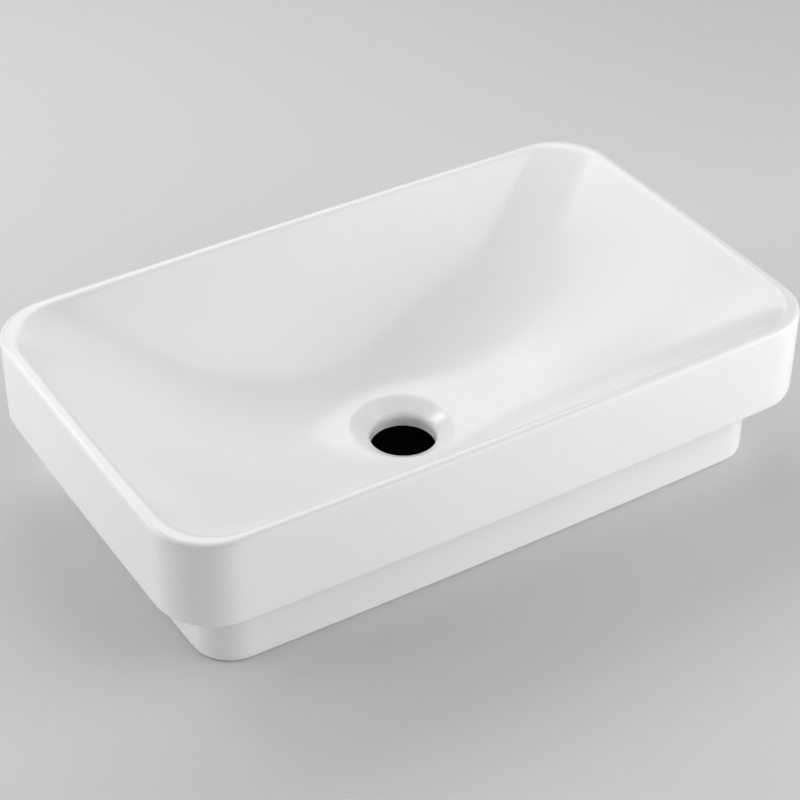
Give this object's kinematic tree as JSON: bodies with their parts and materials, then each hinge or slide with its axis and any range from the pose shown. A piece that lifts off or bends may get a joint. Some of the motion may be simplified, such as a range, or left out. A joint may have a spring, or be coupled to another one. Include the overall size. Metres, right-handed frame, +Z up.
{
  "type": "semi recessed wash basin",
  "caption": "Rectangular glazed ceramic wash basin whose lower block drops into a worktop cut-out, with one waste hole and a seal under its ledge.",
  "frame": {"origin": "under the middle of the drain, on the plane of the foot", "axes": "+X along the basin's length, +Y to its back, +Z up"},
  "size_m": [0.5, 0.303, 0.122],
  "materials": {
    "glazed_china": "gloss white glaze",
    "seal_foam": "closed-cell foam rubber"
  },
  "bodies": {
    "root": {"basin_body": "glazed_china", "ledge_seal": "seal_foam"}
  },
  "joints": []
}
